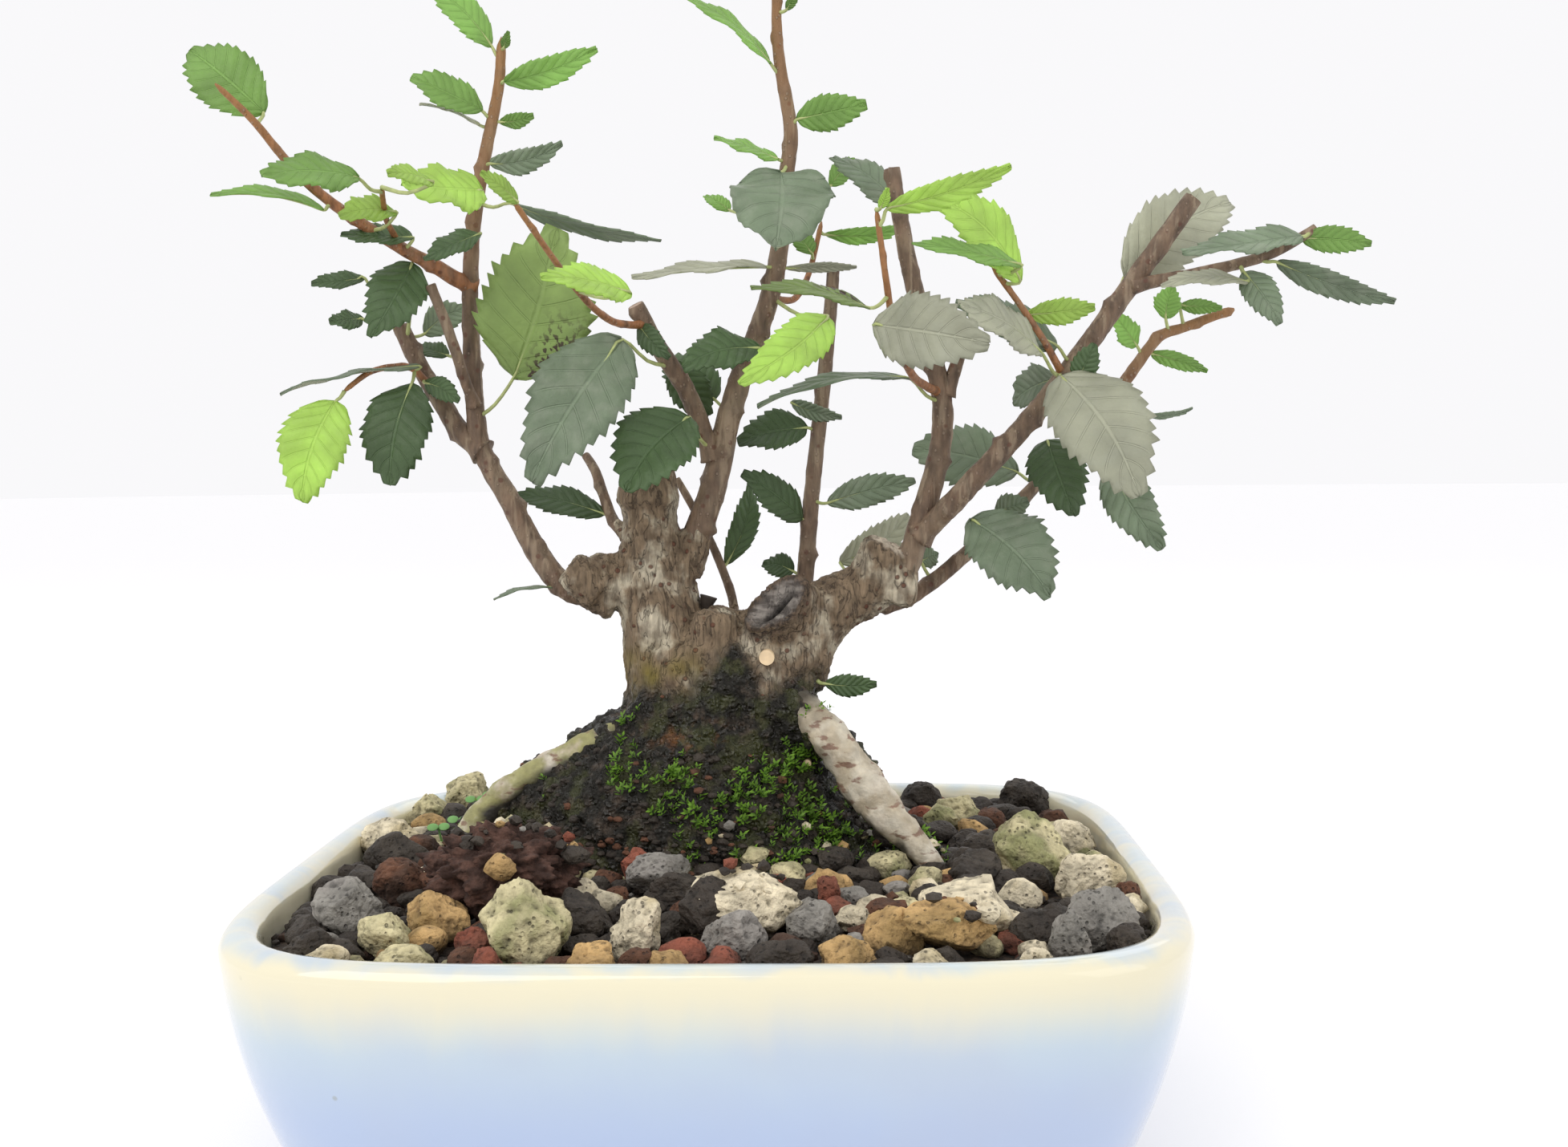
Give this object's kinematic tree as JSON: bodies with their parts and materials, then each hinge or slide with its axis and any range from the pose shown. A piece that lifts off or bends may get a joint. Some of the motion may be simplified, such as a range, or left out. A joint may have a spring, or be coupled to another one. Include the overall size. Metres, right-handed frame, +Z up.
{
  "type": "bonsai tree in a pot",
  "caption": "Small elm bonsai with a flared trunk, bare cut stems and toothed leaves, in a low rounded square pot of pale glazed ceramic filled with coarse grit.",
  "frame": {"origin": "on the surface the pot stands on, under the middle of the whole part's box; the pot's own middle is 11.4 mm towards -X of it", "axes": "+Z up, -Y towards the front of the tree, +X to the right seen from the front"},
  "size_m": [0.1763, 0.13, 0.1797],
  "materials": {
    "pot_glaze": "gloss",
    "soil": "matte",
    "mesh_plastic": "matte",
    "clip_wire": "satin",
    "trunk_bark": "matte",
    "stone_cream": "matte",
    "stone_ochre": "matte",
    "peat": "matte",
    "stem_bark": "matte",
    "young_shoot": "satin",
    "leaf_fresh": "satin",
    "leaf_lime": "satin",
    "leaf_dark": "satin",
    "leaf_blue": "satin",
    "leaf_beige": "satin",
    "leaf_olive": "satin"
  },
  "bodies": {
    "root": {"pot": "pot_glaze", "soil": "soil", "drain_mesh_left": "mesh_plastic", "drain_mesh_right": "mesh_plastic", "mesh_clip_left": "clip_wire", "mesh_clip_right": "clip_wire", "trunk": "trunk_bark", "stone_cream": "stone_cream", "stone_ochre": "stone_ochre", "peat_lump": "peat", "stem_left": "stem_bark", "stem_left_cut": "stem_bark", "stub_left": "stem_bark", "stem_middle": "stem_bark", "stem_middle_cut": "stem_bark", "stem_back": "stem_bark", "stem_right": "stem_bark", "stub_right": "stem_bark", "stem_leaning": "stem_bark", "shoot_leaning": "stem_bark", "stem_right_back": "stem_bark", "twig_dark": "stem_bark", "twig_leader": "stem_bark", "shoot_far_left": "young_shoot", "twig_low_left": "young_shoot", "twig_left_near": "young_shoot", "twig_front_left": "young_shoot", "twig_front": "young_shoot", "twig_lime": "young_shoot", "twig_ochre": "young_shoot", "leaf_far_left_tip": "leaf_fresh", "leaf_far_left_side": "leaf_fresh", "leaf_front_left": "leaf_fresh", "leaf_top_left": "leaf_fresh", "leaf_top_left_right": "leaf_fresh", "leaf_upper_left": "leaf_fresh", "leaf_deep_lime": "leaf_lime", "leaf_dark_left": "leaf_dark", "leaf_round_olive": "leaf_olive", "leaf_low_lime": "leaf_lime", "leaf_low_dark": "leaf_dark", "leaf_blue_middle": "leaf_blue", "leaf_dark_middle": "leaf_dark", "leaf_behind_leader": "leaf_dark", "leaf_beige_middle": "leaf_beige", "leaf_heart": "leaf_blue", "leaf_upper_right": "leaf_fresh", "leaf_top_middle": "leaf_fresh", "leaf_grey_right_top": "leaf_blue", "leaf_near_lime": "leaf_lime", "leaf_twig_lime": "leaf_lime", "leaf_tall_beige": "leaf_beige", "leaf_leaning_top": "leaf_blue", "leaf_far_right": "leaf_blue", "leaf_big_beige": "leaf_beige", "leaf_blotchy": "leaf_blue", "leaf_near_pale": "leaf_beige", "leaf_long_grey": "leaf_blue", "leaf_right_green": "leaf_dark", "leaf_back_left_dark": "leaf_dark"}
  },
  "joints": []
}
